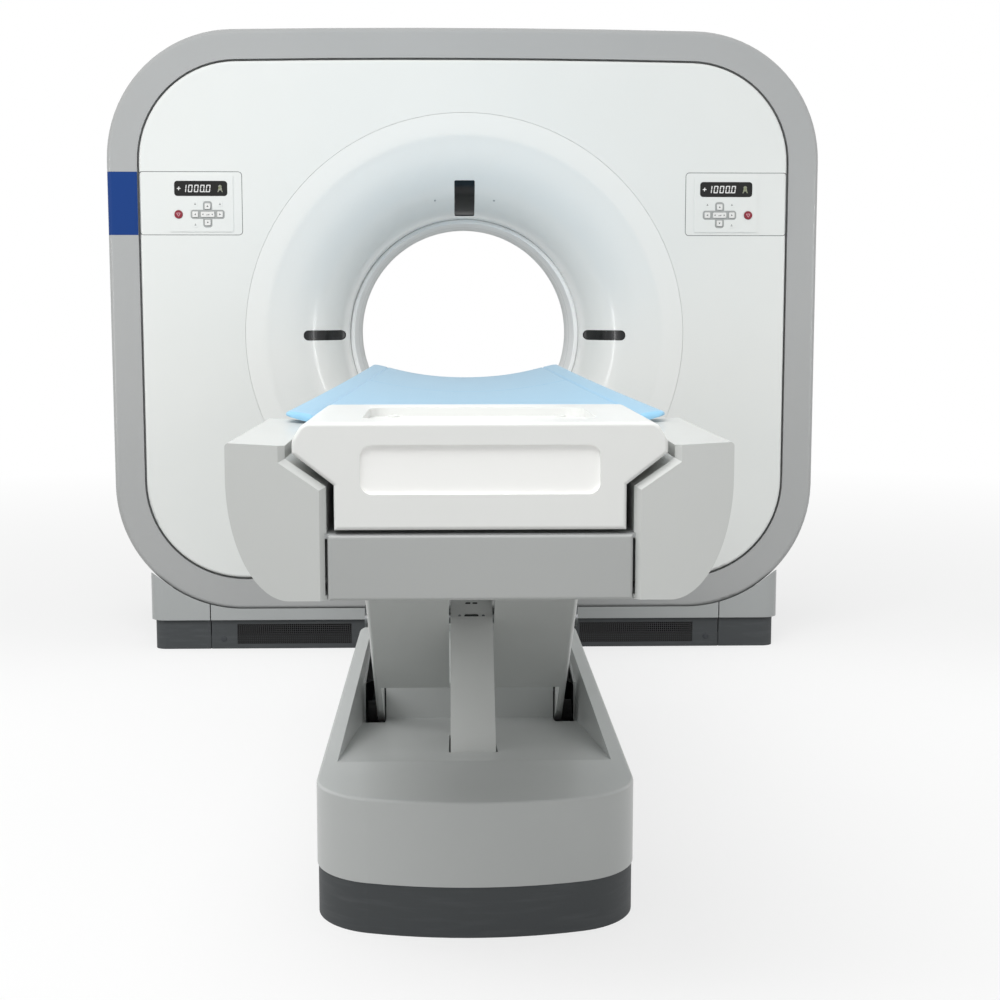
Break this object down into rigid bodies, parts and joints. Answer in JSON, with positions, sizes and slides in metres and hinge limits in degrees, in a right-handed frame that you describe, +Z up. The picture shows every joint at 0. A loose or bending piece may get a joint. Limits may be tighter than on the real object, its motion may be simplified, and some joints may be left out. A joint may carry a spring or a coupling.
{
  "type": "ct scanner",
  "caption": "CT scanner: tilting ring gantry with a bell-shaped bore on a low floor base, and a couch that slides into it from a scissor-lift pedestal table.",
  "frame": {"origin": "on the floor under the middle of the whole scanner, gantry and table together", "axes": "+Y from the foot of the table into the gantry along the scan axis, +X to the right as seen from the foot of the table, +Z up"},
  "size_m": [2.001, 3.462, 1.7557],
  "materials": {
    "white_cover": "smooth lacquered moulding, soft gloss",
    "funnel_white": "smooth moulded bell, soft gloss",
    "band_grey": "satin lacquered moulding",
    "plate_blue": "smooth printed plate",
    "window_black": "dark tinted polycarbonate",
    "bore_white": "polished ring",
    "scan_film": "clear film over foam",
    "panel_white": "printed foil on moulding",
    "display_glass": "dark window of a numeric display",
    "stop_red": "moulded key",
    "key_grey": "moulded key",
    "cast_frame": "machined casting",
    "rotor_alloy": "machined ring",
    "tube_steel": "turned housing",
    "detector_alloy": "black anodised housing",
    "generator_paint": "powder coated box",
    "frame_paint": "powder coated steel",
    "bearing_steel": "ground bearing steel",
    "motor_paint": "lacquered gearmotor",
    "base_cover_grey": "smooth lacquered moulding",
    "kick_dark": "fine textured moulding",
    "grille_black": "punched mesh",
    "pedestal_grey": "smooth lacquered moulding",
    "plate_steel": "painted steel plate",
    "arm_paint": "powder coated arm",
    "pin_steel": "ground pin",
    "roller_rubber": "moulded tread",
    "table_paint": "powder coated profile",
    "wing_grey": "smooth lacquered moulding",
    "cap_white": "smooth lacquered moulding",
    "cradle_white": "lacquered laminate",
    "mat_blue": "wipeable coated cover over foam"
  },
  "bodies": {
    "floor_unit": {"gantry_base_frame": "frame_paint", "trunnion_bearings": "bearing_steel", "tilt_gearmotor": "motor_paint", "base_cover_left": "base_cover_grey", "base_cover_right": "base_cover_grey", "base_cover_front": "base_cover_grey", "base_cover_rear": "base_cover_grey", "kick_panel_left": "kick_dark", "kick_panel_right": "kick_dark", "kick_panel_front": "kick_dark", "kick_panel_rear": "kick_dark", "vent_grilles": "grille_black", "pedestal_cover": "pedestal_grey", "pedestal_kick": "kick_dark", "pedestal_base": "plate_steel", "base_pivot_pin": "pin_steel", "lift_gearmotor": "motor_paint"},
    "gantry": {"band_cover": "band_grey", "name_plate": "plate_blue", "front_cover": "white_cover", "rear_cover": "white_cover", "panel_left": "panel_white", "panel_right": "panel_white", "display_left": "display_glass", "display_right": "display_glass", "front_funnel": "funnel_white", "rear_funnel": "funnel_white", "laser_windows": "window_black", "bore_ring_front": "bore_white", "bore_ring_rear": "bore_white", "scan_window": "scan_film", "stator_frame": "cast_frame"},
    "rotor": {"rotor_drum": "rotor_alloy", "xray_tube": "tube_steel", "detector_arc": "detector_alloy", "hv_generator": "generator_paint"},
    "left_stop_key": {"key_left_stop": "stop_red"},
    "left_up_key": {"key_left_up": "key_grey"},
    "left_down_key": {"key_left_down": "key_grey"},
    "left_left_key": {"key_left_left": "key_grey"},
    "left_right_key": {"key_left_right": "key_grey"},
    "left_centre_key": {"key_left_centre": "key_grey"},
    "right_stop_key": {"key_right_stop": "stop_red"},
    "right_up_key": {"key_right_up": "key_grey"},
    "right_down_key": {"key_right_down": "key_grey"},
    "right_left_key": {"key_right_left": "key_grey"},
    "right_right_key": {"key_right_right": "key_grey"},
    "right_centre_key": {"key_right_centre": "key_grey"},
    "lift_inner": {"inner_arm": "arm_paint", "cross_pin": "pin_steel"},
    "lift_outer": {"outer_arm": "arm_paint"},
    "bottom_wheels": {"lower_rollers": "roller_rubber"},
    "top_wheels": {"upper_rollers": "roller_rubber"},
    "table_top": {"table_frame": "table_paint", "wing_left": "wing_grey", "wing_right": "wing_grey", "front_fairing": "wing_grey"},
    "couch": {"cradle": "cradle_white", "end_cap": "cap_white", "mattress": "mat_blue"}
  },
  "joints": [
    {"name": "gantry_tilt", "type": "hinge", "parent": "floor_unit", "child": "gantry", "pos_m": [0, 1.3, 0.90235], "axis": [-1, 0, 0], "range_deg": [-20, 20]},
    {"name": "rotor_spin", "type": "hinge", "parent": "gantry", "child": "rotor", "pos_m": [0, 1.3, 0.90235], "axis": [0, 1, 0], "continuous": true},
    {"name": "table_lift", "type": "hinge", "parent": "floor_unit", "child": "lift_inner", "pos_m": [0, -0.996, 0.095], "axis": [1, 0, 0], "range_deg": [-23.5, 5]},
    {"name": "scissor_cross", "type": "hinge", "parent": "lift_inner", "child": "lift_outer", "pos_m": [0, -0.62471, 0.3799], "axis": [1, 0, 0], "range_deg": [-10, 47]},
    {"name": "table_level", "type": "hinge", "parent": "lift_outer", "child": "table_top", "pos_m": [0, -0.996, 0.6648], "axis": [1, 0, 0], "range_deg": [-23.5, 5]},
    {"name": "bottom_wheel_spin", "type": "hinge", "parent": "lift_outer", "child": "bottom_wheels", "pos_m": [0, -0.25342, 0.095], "axis": [1, 0, 0], "continuous": true},
    {"name": "top_wheel_spin", "type": "hinge", "parent": "lift_inner", "child": "top_wheels", "pos_m": [0, -0.25342, 0.6648], "axis": [1, 0, 0], "continuous": true},
    {"name": "couch_slide", "type": "slide", "parent": "table_top", "child": "couch", "axis": [0, 1, 0], "range_m": [0, 1.5]},
    {"name": "left_stop_press", "type": "slide", "parent": "gantry", "child": "left_stop_key", "axis": [0, 1, 0], "range_m": [0, 0.0015], "stiffness_N_per_m": 900},
    {"name": "left_up_press", "type": "slide", "parent": "gantry", "child": "left_up_key", "axis": [0, 1, 0], "range_m": [0, 0.0015], "stiffness_N_per_m": 900},
    {"name": "left_down_press", "type": "slide", "parent": "gantry", "child": "left_down_key", "axis": [0, 1, 0], "range_m": [0, 0.0015], "stiffness_N_per_m": 900},
    {"name": "left_left_press", "type": "slide", "parent": "gantry", "child": "left_left_key", "axis": [0, 1, 0], "range_m": [0, 0.0015], "stiffness_N_per_m": 900},
    {"name": "left_right_press", "type": "slide", "parent": "gantry", "child": "left_right_key", "axis": [0, 1, 0], "range_m": [0, 0.0015], "stiffness_N_per_m": 900},
    {"name": "left_centre_press", "type": "slide", "parent": "gantry", "child": "left_centre_key", "axis": [0, 1, 0], "range_m": [0, 0.0015], "stiffness_N_per_m": 900},
    {"name": "right_stop_press", "type": "slide", "parent": "gantry", "child": "right_stop_key", "axis": [0, 1, 0], "range_m": [0, 0.0015], "stiffness_N_per_m": 900},
    {"name": "right_up_press", "type": "slide", "parent": "gantry", "child": "right_up_key", "axis": [0, 1, 0], "range_m": [0, 0.0015], "stiffness_N_per_m": 900},
    {"name": "right_down_press", "type": "slide", "parent": "gantry", "child": "right_down_key", "axis": [0, 1, 0], "range_m": [0, 0.0015], "stiffness_N_per_m": 900},
    {"name": "right_left_press", "type": "slide", "parent": "gantry", "child": "right_left_key", "axis": [0, 1, 0], "range_m": [0, 0.0015], "stiffness_N_per_m": 900},
    {"name": "right_right_press", "type": "slide", "parent": "gantry", "child": "right_right_key", "axis": [0, 1, 0], "range_m": [0, 0.0015], "stiffness_N_per_m": 900},
    {"name": "right_centre_press", "type": "slide", "parent": "gantry", "child": "right_centre_key", "axis": [0, 1, 0], "range_m": [0, 0.0015], "stiffness_N_per_m": 900}
  ],
  "couplings": [
    {"joint": "scissor_cross", "follows": "table_lift", "ratio": -2},
    {"joint": "table_level", "follows": "table_lift", "ratio": 1}
  ]
}
